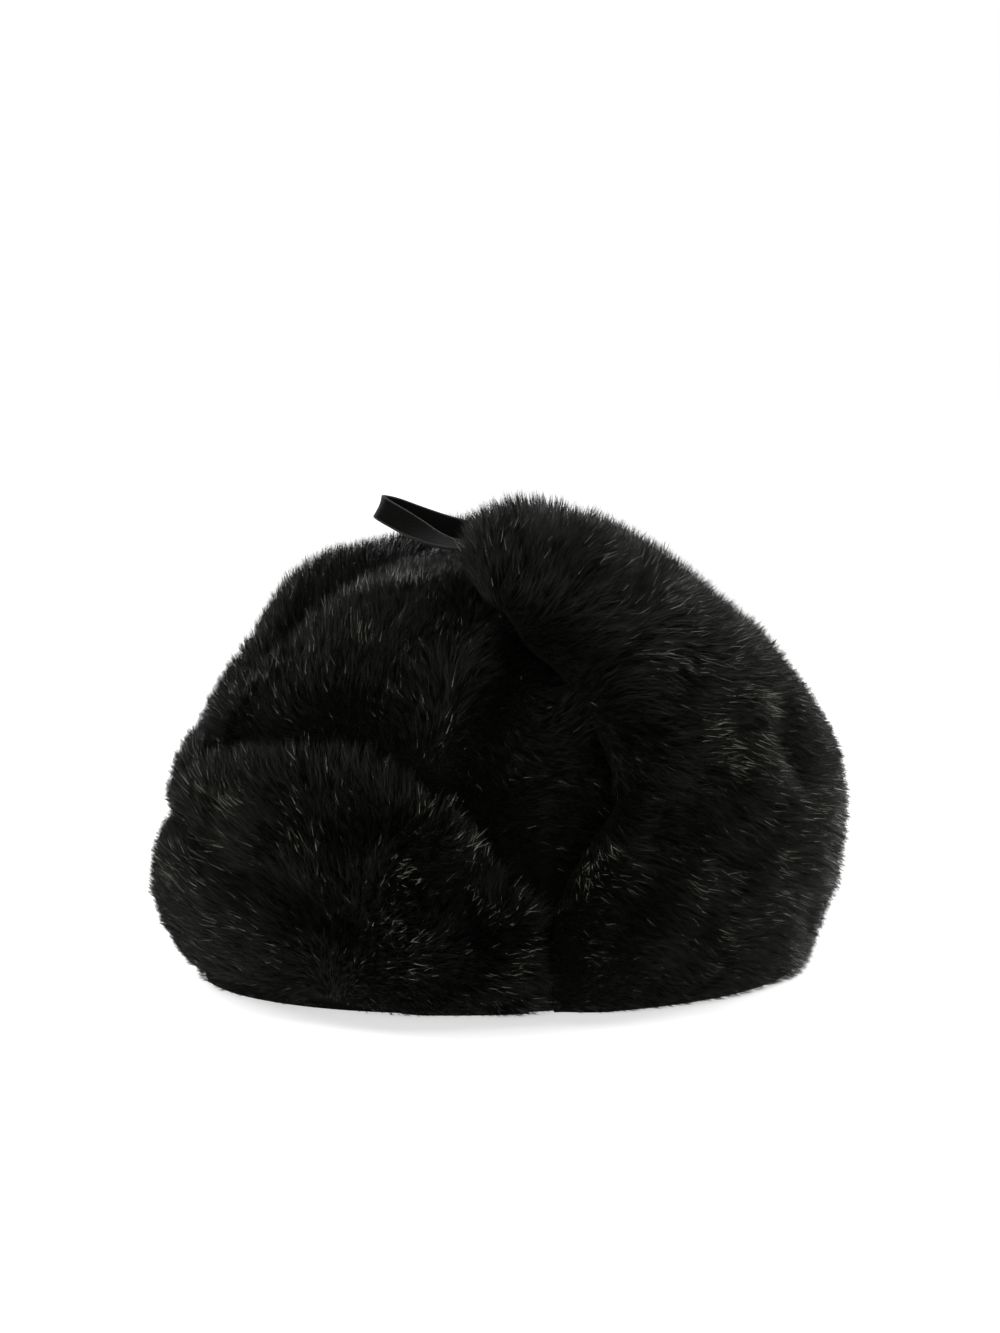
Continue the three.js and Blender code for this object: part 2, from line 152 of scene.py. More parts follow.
def domeFrame(place):
    # points and normals of the skin, which is a squared-off dome
    drop = np.linalg.norm(place, axis=-1)
    polar = np.minimum(drop, 1) * math.pi / 2
    power = 2 / hat["squareness"]
    spread = np.sin(polar) ** power
    rise = np.where(drop < 1, np.maximum(np.cos(polar), 0) ** power, 0)
    side = place[..., 0] / np.maximum(drop, 1e-9)
    back = place[..., 1] / np.maximum(drop, 1e-9)
    halfWidth, halfLength, height = hat["skinHalfWidth"], hat["skinHalfLength"], hat["skinHeight"]
    point = np.stack([halfWidth * spread * side, halfLength * spread * back, height * rise], -1)
    flank = spread ** (hat["squareness"] - 1)
    upright = rise ** (hat["squareness"] - 1)
    normal = unit(np.stack([flank * side / halfWidth, flank * back / halfLength, upright / height], -1))
    return point, normal


def domePoint(place, lift):
    point, normal = domeFrame(place)
    return point + normal * np.asarray(lift)[..., None]


def downhill(place, normal):
    outward = np.concatenate([place, np.full(place.shape[:-1] + (1,), -0.25)], -1)
    return alongSkin(outward, normal)


def segmentDistance(points, a, b):
    edge = b - a
    t = np.clip(((points - a) @ edge) / max(edge @ edge, 1e-12), 0, 1)
    return np.linalg.norm(points - (a + t[..., None] * edge), axis=-1)


def foldDepth(folds, points):
    # how deep the folds are at points of the skin; a fold below zero is a ridge
    total = np.zeros(points.shape[:-1])
    for fold in folds:
        turns, drops = np.array(fold["path"], float).T
        corners = domePoint(plan(turns, drops), 0 * drops)
        distance = np.min([segmentDistance(points, a, b) for a, b in zip(corners, corners[1:])], axis=0)
        total += fold["depth"] * np.exp(-((distance / fold["width"]) ** 2))
    return total


# The turned-up visor: where its fold and free edge lie by turn, and how far its hair tips stand
# off the skin

visor = {
    "endTurn": 81.2,
    "foldLift": 0.0095,
    "swellShare": 0.3,
    "rows": [
        {"turn": 0, "foldDrop": 0.986, "topDrop": 0.7, "lift": 0.026},
        {"turn": 15, "foldDrop": 0.986, "topDrop": 0.67, "lift": 0.026},
        {"turn": 46, "foldDrop": 0.994, "topDrop": 0.65, "lift": 0.0255},
        {"turn": 58, "foldDrop": 1, "topDrop": 0.7, "lift": 0.025},
        {"turn": 70, "foldDrop": 1, "topDrop": 0.79, "lift": 0.024},
        {"turn": 81, "foldDrop": 1, "topDrop": 0.89, "lift": 0.0205},
    ],
    # the folds' depth also sets painted shade on the hair tips, and the ridges (below zero) a painted
    # highlight
    "folds": [
        {"path": [(-24, 0.79), (2, 0.825), (22, 0.85), (46, 0.91)],
         "width": 0.0065, "depth": 0.007},
        {"path": [(40, 0.79), (50, 0.76)], "width": 0.012, "depth": 0.006},
        {"path": [(61, 0.83), (69, 0.91)], "width": 0.009, "depth": 0.006},
        {"path": [(52, 0.85), (60, 0.77)], "width": 0.008, "depth": -0.0035},
        {"path": [(66, 0.79), (75, 0.86)], "width": 0.006, "depth": -0.003},
        {"path": [(-48, 0.86), (-62, 0.8)], "width": 0.009, "depth": 0.005},
    ],
    "topRound": 0.015,
    "endRound": 0.012,
    "endLean": 0.85,  # share of the edge's lean that the hair has along the ends
    "cells": (80, 24),
    "tuftsPerSquareMetre": 690000,
}


def visorNap(place, up, upward, back):
    # the hair fans out to both ends of each half, and rises to the free edge and in the middle
    turn = np.abs(turnOf(place))
    climb = 0.6 * smoothStep(0, 0.9, up) + mix(0.6, 0.05, smoothStep(4, 34, turn))
    fan = np.tanh((turn - 40) / 30) * np.tanh(turn / 24)
    return upward * climb[..., None] + back * fan[..., None]


def visorPaintedShade(place):
    return np.ones(place.shape[:-1])


visor["nap"] = visorNap
visor["shade"] = visorPaintedShade


def visorPlace(across, up):
    turn = mix(-visor["endTurn"], visor["endTurn"], across)
    turns = column(visor["rows"], "turn")
    fold = readTable(turns, column(visor["rows"], "foldDrop"), np.abs(turn))
    top = readTable(turns, column(visor["rows"], "topDrop"), np.abs(turn))
    return plan(turn, mix(fold, top, up))


def swell(up, full):
    return 1 - (1 - np.minimum(up / full, 1)) ** 2


def visorTipLift(across, up):
    turn = np.abs(mix(-visor["endTurn"], visor["endTurn"], across))
    full = readTable(column(visor["rows"], "turn"), column(visor["rows"], "lift"), turn)
    return mix(visor["foldLift"], full, swell(up, visor["swellShare"]))


# The ear and neck flap: each row runs from the rim by a middle place to the flap's free edge

flap = {
    "rows": [
        {"rimTurn": 82, "midTurn": 101, "midDrop": 0.7, "topTurn": 68, "topDrop": 0.37,
         "rimLift": 0.015, "midLift": 0.027, "topLift": 0.0295},
        {"rimTurn": 92, "midTurn": 103, "midDrop": 0.65, "topTurn": 60, "topDrop": 0.27,
         "rimLift": 0.0165, "midLift": 0.0285, "topLift": 0.0315},
        {"rimTurn": 104, "midTurn": 107, "midDrop": 0.6, "topTurn": 66, "topDrop": 0.13,
         "rimLift": 0.0175, "midLift": 0.03, "topLift": 0.031},
        {"rimTurn": 119, "midTurn": 118, "midDrop": 0.6, "topTurn": 140, "topDrop": 0.13,
         "rimLift": 0.0185, "midLift": 0.035, "topLift": 0.027},
        {"rimTurn": 138, "midTurn": 137, "midDrop": 0.66, "topTurn": 158, "topDrop": 0.33,
         "rimLift": 0.019, "midLift": 0.041, "topLift": 0.0245},
        {"rimTurn": 158, "midTurn": 158, "midDrop": 0.74, "topTurn": 168, "topDrop": 0.48,
         "rimLift": 0.02, "midLift": 0.043, "topLift": 0.0265},
        {"rimTurn": 180, "midTurn": 180, "midDrop": 0.77, "topTurn": 180, "topDrop": 0.52,
         "rimLift": 0.018, "midLift": 0.0435, "topLift": 0.033},
    ],
    "midShare": 0.42,
    # the course of the front edge from the rim to the tip
    "front": [
        {"up": 0, "turn": 82, "drop": 1},
        {"up": 0.12, "turn": 82.5, "drop": 0.89},
        {"up": 0.28, "turn": 90, "drop": 0.79},
        {"up": 0.4, "turn": 95.5, "drop": 0.74},
        {"up": 0.52, "turn": 94, "drop": 0.67},
        {"up": 0.7, "turn": 88, "drop": 0.55},
        {"up": 0.86, "turn": 80.5, "drop": 0.46},
        {"up": 1, "turn": 67, "drop": 0.38},
    ],
    "frontReach": 0.16,  # the share of the flap that the front edge draws along
    "farTurnShift": 8,  # the far ear flap is tied a little further back and lower
    "farDropShift": 0.06,
    "farLiftShare": 0.82,
    # the folds' depth also sets painted shade on the hair tips, and the ridges (below zero) a painted
    # highlight
    "folds": [
        {"path": [(76, 0.42), (86, 0.46), (93, 0.54), (97, 0.62)], "width": 0.006, "depth": 0.007},
        {"path": [(100, 0.78), (99, 0.85), (93, 0.91)], "width": 0.007, "depth": 0.008},
        {"path": [(97, 0.73), (107, 0.76)], "width": 0.005, "depth": 0.005},
        {"path": [(125, 0.62), (124, 0.69), (126, 0.74), (138, 0.77)],
         "width": 0.007, "depth": -0.006},
        {"path": [(83, 0.88), (92, 0.77)], "width": 0.005, "depth": -0.004},
        {"path": [(133, 0.67), (134, 0.71)], "width": 0.012, "depth": 0.01},
        {"path": [(160, 0.93), (172, 0.8)], "width": 0.009, "depth": 0.006},
    ],
    "topRound": 0.009,
    "endRound": 0.018,
    "endLean": 0.4,
    # painted shade beside the front edges, upper and lower, and towards the tips
    "upperEdgePaintedShade": 0.4,
    "lowerEdgePaintedShade": 0.78,
    "tipPaintedShade": 0.25,
    "cells": (120, 42),
    "tuftsPerSquareMetre": 570000,
}


def flapNap(place, up, upward, back):
    # the hair runs back from the front edges, down on the ear's lower half and up at the free edge
    climb = 1.9 * smoothStep(0.35, 0.85, up) - 0.6 * smoothStep(0.05, 0.2, up) - 0.5
    return upward * climb[..., None] + back


def flapPaintedShade(place):
    # painted shade beside its front edges, where it sinks in against the crown, and a little towards its
    # tips
    turn = np.abs(turnOf(place))
    drop = np.linalg.norm(place, axis=-1)
    beside = 1 - smoothStep(97, 118, turn)
    beside *= smoothStep(0.25, 0.4, drop) * (1 - smoothStep(0.74, 0.82, drop))
    darker = mix(flap["upperEdgePaintedShade"], flap["lowerEdgePaintedShade"], smoothStep(0.46, 0.56, drop))
    tip = 1 - smoothStep(0.3, 0.55, drop)
    return (1 - darker * beside) * (1 - flap["tipPaintedShade"] * tip)


flap["nap"] = flapNap
flap["shade"] = flapPaintedShade


def flapRow(across):
    # places in plan and lifts of the rows, from the near front edge round the back to the far one
    start = flap["rows"][0]["rimTurn"]
    rimTurn = mix(start, 360 - start, across)
    side = np.where(rimTurn <= 180, 1, -1)
    at = np.where(rimTurn <= 180, rimTurn, 360 - rimTurn)
    keys = column(flap["rows"], "rimTurn")
    read = {name: readTable(keys, column(flap["rows"], name), at) for name in flap["rows"][0]}
    earShare = np.where(side > 0, 0, 1 - smoothStep(120, 170, at))
    topTurns, topDrops = (np.array(column(flap["rows"], name), float) for name in ("topTurn", "topDrop"))
    tops = plan(topTurns, topDrops)
    rim = plan(at, np.ones_like(at))
    middle = plan(read["midTurn"] + flap["farTurnShift"] * earShare, read["midDrop"])
    top = np.stack([
        readTable(keys, tops[:, 0], at) + 2 * flap["farDropShift"] * earShare,
        readTable(keys, tops[:, 1], at) + flap["farDropShift"] * earShare,
    ], -1)
    for corner in (rim, middle, top):
        corner[..., 0] *= side
    shrink = mix(1, flap["farLiftShare"], earShare)
    return rim, middle, top, read["rimLift"], read["midLift"] * shrink, read["topLift"] * shrink


def alongRow(across, up):
    rim, middle, top = flapRow(across)[:3]
    m = flap["midShare"]
    up = np.asarray(up)[..., None]
    return (rim * (up - m) * (up - 1) / m + middle * up * (up - 1) / (m * (m - 1))
            + top * up * (up - m) / (1 - m))


def flapPlace(across, up):
    keys = column(flap["front"], "up")
    corners = plan(np.array(column(flap["front"], "turn")), np.array(column(flap["front"], "drop")))
    front = np.stack([readTable(keys, corners[:, 0], up), readTable(keys, corners[:, 1], up)], -1)
    shift = front - alongRow(0 * across, up)
    shift *= 1 - smoothStep(0, flap["frontReach"], np.minimum(across, 1 - across))[..., None]
    shift[..., 0] *= np.where(across > 0.5, -1, 1)
    return alongRow(across, up) + shift


def flapTipLift(across, up):
    rimLift, midLift, topLift = flapRow(across)[3:]
    return mix(mix(rimLift, midLift, swell(up, flap["midShare"])), topLift, smoothStep(0.45, 0.95, up))


# The crown: four sewn panels, with a valley along the middle seam and one down each side seam

crown = {
    "tipLift": 0.0225,
    "topTipLift": 0.019,
    "leastLift": 0.004,
    "rimLift": 0.003,
    "rimRampDrop": 0.6,
    "pressedUnderEar": 0.66,
    "pressedUnderNeck": 0.25,
    "pressedInside": 0.034,
    "pressedOutside": 0.008,
    "solidPile": 0.017,
    "valley": {"middle": -0.004, "width": 0.008, "depth": 0.009},
    "folds": [
        {"path": [(78, 0.95), (70, 0.7), (73, 0.54), (80, 0.46)], "width": 0.01, "depth": 0.008},
        {"path": [(61, 0.68), (62, 0.6), (65, 0.52), (69, 0.46), (76, 0.41)],
         "width": 0.006, "depth": -0.004},
        {"path": [(8, 0.62), (7, 0.54), (12, 0.45), (25, 0.36), (43, 0.33), (60, 0.3)],
         "width": 0.0055, "depth": -0.0045},
        {"path": [(40, 0.56), (54, 0.53)], "width": 0.016, "depth": 0.0045},
    ],
    # the top has sunk in beside the middle seam, under the flap's tip and the ribbon
    "dents": [
        {"path": [(-5, 0.54), (2, 0.37), (14, 0.25), (32, 0.17), (70, 0.12)],
         "width": 0.012, "depth": 0.012},
        {"path": [(66, 0.1), (12, 0.113)], "width": 0.009, "depth": 0.009},
        {"path": [(-28, 0.19), (-34, 0.075)], "width": 0.01, "depth": 0.005},
    ],
    # the near front panel hangs lower, pressed by the flap's tip
    "nearHollow": [
        {"path": [(8, 0.48), (25, 0.38), (43, 0.34), (60, 0.31), (85, 0.3)],
         "width": 0.02, "depth": 0.0065},
    ],
    # painted shade on the side panels, and a painted shadow beside the visor's and the flap's edges
    "flankPaintedShade": 0.45,
    "edgeShadow": {"shade": 0.4, "reach": 0.014},  # beside the visor's and the flap's edges
    "hairUnderEdge": (0.006, 0.016),  # how far under those edges the hair fades out
    "cells": 72,
    "tuftsPerSquareMetre": 425000,
}


def outline(placeAt, steps=60):
    s = np.arange(steps) / steps
    o = np.zeros(steps)
    sides = [placeAt(s, o), placeAt(o + 1, s), placeAt(1 - s, o + 1), placeAt(o, 1 - s)]
    return np.concatenate(sides)


def distanceOutside(place, corners):
    # metres outside an outline in plan, below zero inside it
    inside = np.zeros(place.shape[:-1], bool)
    distance = np.full(place.shape[:-1], np.inf)
    x, y = place[..., 0], place[..., 1]
    for a, b in zip(corners, np.roll(corners, -1, axis=0)):
        if a[1] != b[1]:
            crosses = (a[1] > y) != (b[1] > y)
            inside ^= crosses & (x < a[0] + (b[0] - a[0]) * (y - a[1]) / (b[1] - a[1]))
        distance = np.minimum(distance, segmentDistance(place, a, b))
    return np.where(inside, -distance, distance) * hat["skinHeight"]


flapOutlines = [outline(visorPlace), outline(flapPlace)]


def openDistance(place):
    return np.min([distanceOutside(place, corners) for corners in flapOutlines], axis=0)


def crownSunk(point):
    # how far the seams, folds and dents lie under the fur's general height
    # the same depth paints shade on the hair tips in the hollows and a highlight on the ridges
    valley = crown["valley"]
    seam = valley["depth"] * np.exp(-(((point[..., 0] - valley["middle"]) / valley["width"]) ** 2))
    bothSides = np.stack([np.abs(point[..., 0]), point[..., 1], point[..., 2]], -1)
    folds = foldDepth(crown["folds"], bothSides) + foldDepth(crown["dents"], point)
    return seam * smoothStep(0.01, 0.06, point[..., 2]) + folds


def crownTipPile(place):
    # height of the hair tips where the fur stands free, lower towards the top of the crown
    drop = np.linalg.norm(place, axis=-1)
    pile = mix(crown["topTipLift"], crown["tipLift"], smoothStep(0.2, 0.6, drop))
    return pile - foldDepth(crown["nearHollow"], domeFrame(place)[0])


def crownLift(place, pile, openAt):
    # height of the crown's fur: pile where it is open, pressed flat under the visor and the flap
    cover = 1 - smoothStep(-crown["pressedInside"], crown["pressedOutside"], openAt)
    drop = np.linalg.norm(place, axis=-1)
    point = domeFrame(place)[0]
    neckShare = smoothStep(115, 150, np.abs(turnOf(place))) * smoothStep(0.15, 0.6, drop)
    flattened = mix(crown["pressedUnderEar"], crown["pressedUnderNeck"], neckShare)
    pressed = crown["solidPile"] * (1 - flattened)
    standing = np.maximum(pile - crownSunk(point), crown["leastLift"])
    lift = mix(standing, pressed, cover)
    return mix(lift, crown["rimLift"], smoothStep(crown["rimRampDrop"], 1, drop))


def paintedShadingOf(sunk):
    # painted light on the hair's tips: a painted highlight on the ridges and painted shade in the folds
    return np.where(sunk < 0, 1 - sunk / 0.003 * 0.9, np.maximum(1 - sunk / 0.008 * 0.6, 0.3))


# Hair: how it stands on each part, and the tufts that it is made of

fur = {
    "reach": 0.0105,  # from root to tip, straight off the skin
    "crownReach": 0.009,
    "hemReach": 0.0055,
    "shortest": 0.004,
    "lean": 0.5,  # tangent of the lean along the nap
    "edgeLean": 1.5,
    "edgeBand": 0.016,
    "edgeCalm": 0.03,
    "edgeStretch": 1.3,
    "edgeMargin": 0.0075,
    "edgeOverCrown": 0.002,
    "swirl": 0.7,
    "swirlSize": 0.02,
    "tuftLength": 0.011,
    "tuftKinds": 6,
    "bladesPerTuft": 8,
    "bladeWidth": 0.00026,
    "seed": 11,
}


def wave(points, size, phase):
    # a slow pseudo-random wave in space, for swirls in the nap
    p = points / size
    x, y, z = p[..., 0], p[..., 1], p[..., 2]
    return (np.sin(1.7 * x + 2.3 * y - 1.1 * z + phase)
            + np.sin(-2.9 * x + 1.3 * y + 2.1 * z + 2.3 * phase)
            + np.sin(1.1 * x - 3.1 * y + 2.7 * z + 4.1 * phase)) / 3


def gridMesh(name, layers, attributes=None):
    # a lattice of points as a mesh; a second one is joined to it round the border, as a closed shell
    rows, columns = layers[0].shape[0] - 1, layers[0].shape[1] - 1
    size = (rows + 1) * (columns + 1)
    index = np.arange(size).reshape(rows + 1, columns + 1)
    quads = np.stack([index[:-1, :-1], index[:-1, 1:], index[1:, 1:], index[1:, :-1]], -1)
    quads = quads.reshape(-1, 4)
    faces = [quads]
    if len(layers) > 1:
        faces.append(quads[:, ::-1] + size)
        border = np.concatenate([index[0, :-1], index[:-1, -1], index[-1, :0:-1], index[:0:-1, 0]])
        following = np.roll(border, -1)
        faces.append(np.stack([following, border, border + size, following + size], -1))
    mesh = bpy.data.meshes.new(name)
    points = np.concatenate([layer.reshape(-1, 3) for layer in layers]) - np.array(hat["middle"])
    mesh.from_pydata(points.tolist(), [], np.concatenate(faces).tolist())
    for key, values in (attributes or {}).items():
        kind, field = ("FLOAT_VECTOR", "vector") if values.ndim == 3 else ("FLOAT", "value")
        flat = values.astype(np.float32).ravel()
        mesh.attributes.new(key, kind, "POINT").data.foreach_set(field, flat)
    mesh.shade_smooth()
    return mesh


def addObject(name, mesh):
    piece = bpy.data.objects.new(name, mesh)
    bpy.context.scene.collection.objects.link(piece)
    return piece


def hairDirections(points, normal, nap, reach, leanShare):
    # the way the hair stands at each root: off the skin, leaning along the nap, with swirls
    side = np.cross(normal, nap)
    turnAside = wave(points, fur["swirlSize"], 0.7)[..., None] * fur["swirl"]
    turnAlong = wave(points, fur["swirlSize"] * 0.6, 2.9)[..., None] * fur["swirl"] * 0.6
    direction = unit(normal + nap * (fur["lean"] * leanShare[..., None] + turnAlong) + side * turnAside)
    length = reach / np.maximum(dot(direction, normal)[..., 0], 0.45)
    return direction, length


def crownSurface():
    cells = crown["cells"]
    i, j = np.meshgrid(np.arange(cells + 1), np.arange(cells + 1))
    x, y = 2 * i / cells - 1, 2 * j / cells - 1
    ring = np.maximum(np.abs(x), np.abs(y))
    onSide = np.abs(x) > np.abs(y)
    steep = np.where(onSide, x, y)
    steep = np.where(np.abs(steep) < 1e-9, 1, steep)
    middleTurn = np.where(onSide, 90 * np.sign(x), 90 + 90 * np.sign(y))
    place = plan(middleTurn + 45 * np.where(onSide, y, -x) / steep, ring)
    point, normal = domeFrame(place)
    openAt = openDistance(place)
    tips = crownLift(place, crownTipPile(place), openAt)
    roots = np.maximum(tips - fur["crownReach"], 0.0022)
    reach = np.maximum(tips - roots, fur["shortest"])
    # the nap runs up to the crest on the front panels, and down and back on the side panels
    turn = np.abs(turnOf(place))
    onFlank = (smoothStep(55, 75, turn) * smoothStep(0.15, 0.4, ring))[..., None]
    down = downhill(place, normal)
    nap = alongSkin(mix(-down, 0.7 * down + backward(place, normal), onFlank), normal)
    direction, length = hairDirections(point, normal, nap, reach, smoothStep(0.002, 0.02, openAt))
    nearest, furthest = crown["hairUnderEdge"]
    shown = smoothStep(-furthest, -nearest, openAt)
    outer = point + normal * roots[..., None]
    inner = domePoint(place, np.full(ring.shape, -hat["wall"]))
    shadow = crown["edgeShadow"]
    # the hair tips' painted light: a painted highlight on the ridges, painted shade in the folds and on
    # the side panels, and a painted shadow beside the visor's and the flap's edges
    shade = paintedShadingOf(crownSunk(point)) * (1 - crown["flankPaintedShade"] * onFlank[..., 0])
    shade *= mix(shadow["shade"], 1, smoothStep(0, shadow["reach"], openAt))
    attributes = {
        "hairUp": direction, "napSide": nap, "hairLength": length,
        "furDensity": shown, "furPaintedShading": shade,
    }
    return outer, inner, attributes


def sheetSurface(sheet, placeAt, tipLiftAt):
    # a turned-up part: its root surface, its inner face, and how its hair stands
    columns, rows = sheet["cells"]
    across, up = np.meshgrid(np.arange(columns + 1) / columns, np.arange(rows + 1) / rows)
    whole = domePoint(placeAt(across, up), tipLiftAt(across, up) * 0.6)
    rowLength = np.linalg.norm(np.diff(whole, axis=0), axis=-1).sum(0)[None, :]
    acrossLength = np.linalg.norm(np.diff(whole, axis=1), axis=-1).sum(1)[:, None]
    # the roots stop short of the edges, for the hair reaches past them
    endMargin = fur["edgeMargin"] * 0.5 / acrossLength
    across = mix(endMargin, 1 - endMargin, across)
    up = up * (1 - fur["edgeMargin"] / rowLength)
    toTop = (1 - up) * rowLength - fur["edgeMargin"]
    toEnd = np.minimum(across, 1 - across) * acrossLength - fur["edgeMargin"] * 0.5
    place = placeAt(across, up)
    base, normal = domeFrame(place)
    openAt = openDistance(place)
    inner = crownLift(place, crown["solidPile"], openAt) + hat["layerGap"]
    fromFold = smoothStep(0, 0.12, up)
    sunk = foldDepth(sheet["folds"], base) * fromFold
    edge = np.clip(np.minimum(toTop / sheet["topRound"], toEnd / sheet["endRound"]), 0, 1)
    edge = np.sqrt(1 - (1 - edge) ** 2)
    overCrown = crownLift(place, crownTipPile(place), openAt) + fur["edgeOverCrown"]
    tips = tipLiftAt(across, up) - sunk
    tips = mix(np.minimum(overCrown, tips), tips, edge)
    reach = mix(fur["hemReach"], fur["reach"], smoothStep(0, 0.2, up))
    full = np.maximum(tips - reach, inner + 0.0015)
    roots = inner + 0.001 + (full - inner - 0.001) * edge
    reach = np.clip(tips - roots, fur["shortest"], fur["reach"] * 1.15)
    outer = base + normal * roots[..., None]
    lower = base + normal * inner[..., None]
    towardsTop = alongSkin(np.gradient(outer, axis=0), normal)
    towardsEnd = alongSkin(np.gradient(outer, axis=1), normal)
    towardsEnd *= np.where(across > 0.5, 1, -1)[..., None]
    topShare = (1 - smoothStep(0, fur["edgeBand"], toTop))[..., None]
    endShare = (1 - smoothStep(0, fur["edgeBand"], toEnd))[..., None]
    nap = alongSkin(sheet["nap"](place, up, towardsTop, backward(place, normal)), normal)
    fromEdge = smoothStep(0, fur["edgeCalm"], np.minimum(toTop, toEnd))
    direction, length = hairDirections(outer, normal, nap, reach, fromEdge)
    uneven = 1 + 0.85 * wave(outer, 0.0045, 1.3)[..., None]
    endShare *= sheet["endLean"]
    outward = towardsTop * topShare + towardsEnd * endShare
    outward = outward * fromFold[..., None] * uneven
    direction = unit(direction + outward * fur["edgeLean"])
    edgeShare = np.maximum(topShare, endShare)[..., 0] * fromFold
    length = np.minimum(length * (1 + fur["edgeStretch"] * edgeShare), fur["reach"] * 1.3)
    # the hair tips' painted light: a painted highlight on the ridges and painted shade in the folds,
    # times the part's own painted shade
    attributes = {
        "hairUp": direction, "napSide": nap, "hairLength": length, "furDensity": 1 + 0 * up,
        "furPaintedShading": paintedShadingOf(sunk) * sheet["shade"](place),
    }
    return outer, lower, attributes


# Materials

looks = {
    "root": (0.0037, 0.0038, 0.0028, 1),
    "tip": (0.0167, 0.0172, 0.0118, 1),
    # painted glint: the pale colour that some of the longest hairs get at their tips, and the share of
    # them
    "paintedGlintHair": (0.44, 0.45, 0.36, 1),
    "paintedGlintShare": 0.1,
    "undercoat": (0.0055, 0.0056, 0.0044, 1),
    "backing": (0.012, 0.012, 0.0125, 1),
    "velvet": (0.004, 0.0042, 0.0044, 1),
    "velvetEdge": (0.035, 0.036, 0.037, 1),
}


def newMaterial(name):
    material = bpy.data.materials.new(name)
    material.use_nodes = True
    tree = material.node_tree
    return material, tree, tree.nodes["Principled BSDF"]


def addNode(tree, kind, **values):
    node = tree.nodes.new(kind)
    for key, value in values.items():
        setattr(node, key, value)
    return node


def setInputs(node, **values):
    for key, value in values.items():
        node.inputs[key].default_value = value


def mathNode(tree, operation, a, b=None):
    node = addNode(tree, "ShaderNodeMath", operation=operation)
    for socket, value in zip(node.inputs, (a, b)):
        if isinstance(value, (int, float)):
            socket.default_value = value
        elif value is not None:
            tree.links.new(value, socket)
    return node.outputs[0]


def attributeNode(tree, name):
    return addNode(tree, "ShaderNodeAttribute", attribute_name=name).outputs["Fac"]


def mixColors(tree, share, a, b):
    node = addNode(tree, "ShaderNodeMix", data_type="RGBA")
    for socket, value in zip((node.inputs[0], node.inputs[6], node.inputs[7]), (share, a, b)):
        if isinstance(value, (int, float, tuple)):
            socket.default_value = value
        else:
            tree.links.new(value, socket)
    return node.outputs[2]


def makeHairMaterial():
    # nearly black strands, paler to their tips, more so where a highlight is painted and less where
    # shade is painted, each of its own tone, with painted glints on a few of the longest hairs
    material, tree, shader = newMaterial("blackHair")
    along = attributeNode(tree, "along")
    tones = mathNode(tree, "ADD", attributeNode(tree, "bladeTone"), attributeNode(tree, "strandTone"))
    own = mathNode(tree, "FRACT", tones)
    paling = mathNode(tree, "POWER", along, 1.6)
    # the painted highlight and shade scale how pale the tips grow
    climb = mathNode(tree, "MULTIPLY", paling, attributeNode(tree, "furPaintedShading"))
    color = mixColors(tree, mathNode(tree, "MULTIPLY", climb, 0.5), looks["root"], looks["tip"])
    varied = mixColors(tree, mathNode(tree, "MULTIPLY", own, 0.8), color, looks["root"])
    # painted glints on the longest hairs come in patches, and more of them where the painted highlight
    # is stronger
    coordinates = addNode(tree, "ShaderNodeTexCoord").outputs["Object"]
    patches = addNode(tree, "ShaderNodeTexNoise")
    setInputs(patches, Scale=75.0, Detail=1.0)
    tree.links.new(coordinates, patches.inputs["Vector"])
    patchy = mathNode(tree, "MULTIPLY", mathNode(tree, "POWER", patches.outputs["Fac"], 6.0), 44.0)
    paintedLightSquared = mathNode(tree, "POWER", attributeNode(tree, "furPaintedShading"), 2.0)
    paintedGlintChance = mathNode(tree, "MULTIPLY", patchy, paintedLightSquared)
    share = mathNode(tree, "MULTIPLY", paintedGlintChance, looks["paintedGlintShare"])
    isPale = mathNode(tree, "LESS_THAN", attributeNode(tree, "strandTone"), share)
    paintedGlintHair = mathNode(tree, "MULTIPLY", isPale, mathNode(tree, "GREATER_THAN", along, 0.6))
    paintedGlintHair = mathNode(tree, "MULTIPLY", paintedGlintHair, attributeNode(tree, "paintedGlintHair"))
    tree.links.new(mixColors(tree, paintedGlintHair, varied, looks["paintedGlintHair"]), shader.inputs["Base Color"])
    rough = mathNode(tree, "ADD", mathNode(tree, "MULTIPLY", own, 0.2), 0.4)
    tree.links.new(rough, shader.inputs["Roughness"])
    shader.inputs["Specular IOR Level"].default_value = 0.25
    return material


def makeUndercoatMaterial():
    material, tree, shader = newMaterial("undercoat")
    coordinates = addNode(tree, "ShaderNodeTexCoord").outputs["Object"]
    noise = addNode(tree, "ShaderNodeTexNoise")
    setInputs(noise, Scale=900.0, Detail=3.0)
    tree.links.new(coordinates, noise.inputs["Vector"])
    color = mixColors(tree, noise.outputs["Fac"], looks["root"], looks["undercoat"])
    tree.links.new(color, shader.inputs["Base Color"])
    bump = addNode(tree, "ShaderNodeBump")
    setInputs(bump, Strength=0.8, Distance=0.0008)
    tree.links.new(noise.outputs["Fac"], bump.inputs["Height"])
    tree.links.new(bump.outputs["Normal"], shader.inputs["Normal"])
    shader.inputs["Roughness"].default_value = 0.95
    shader.inputs["Specular IOR Level"].default_value = 0.05
    return material


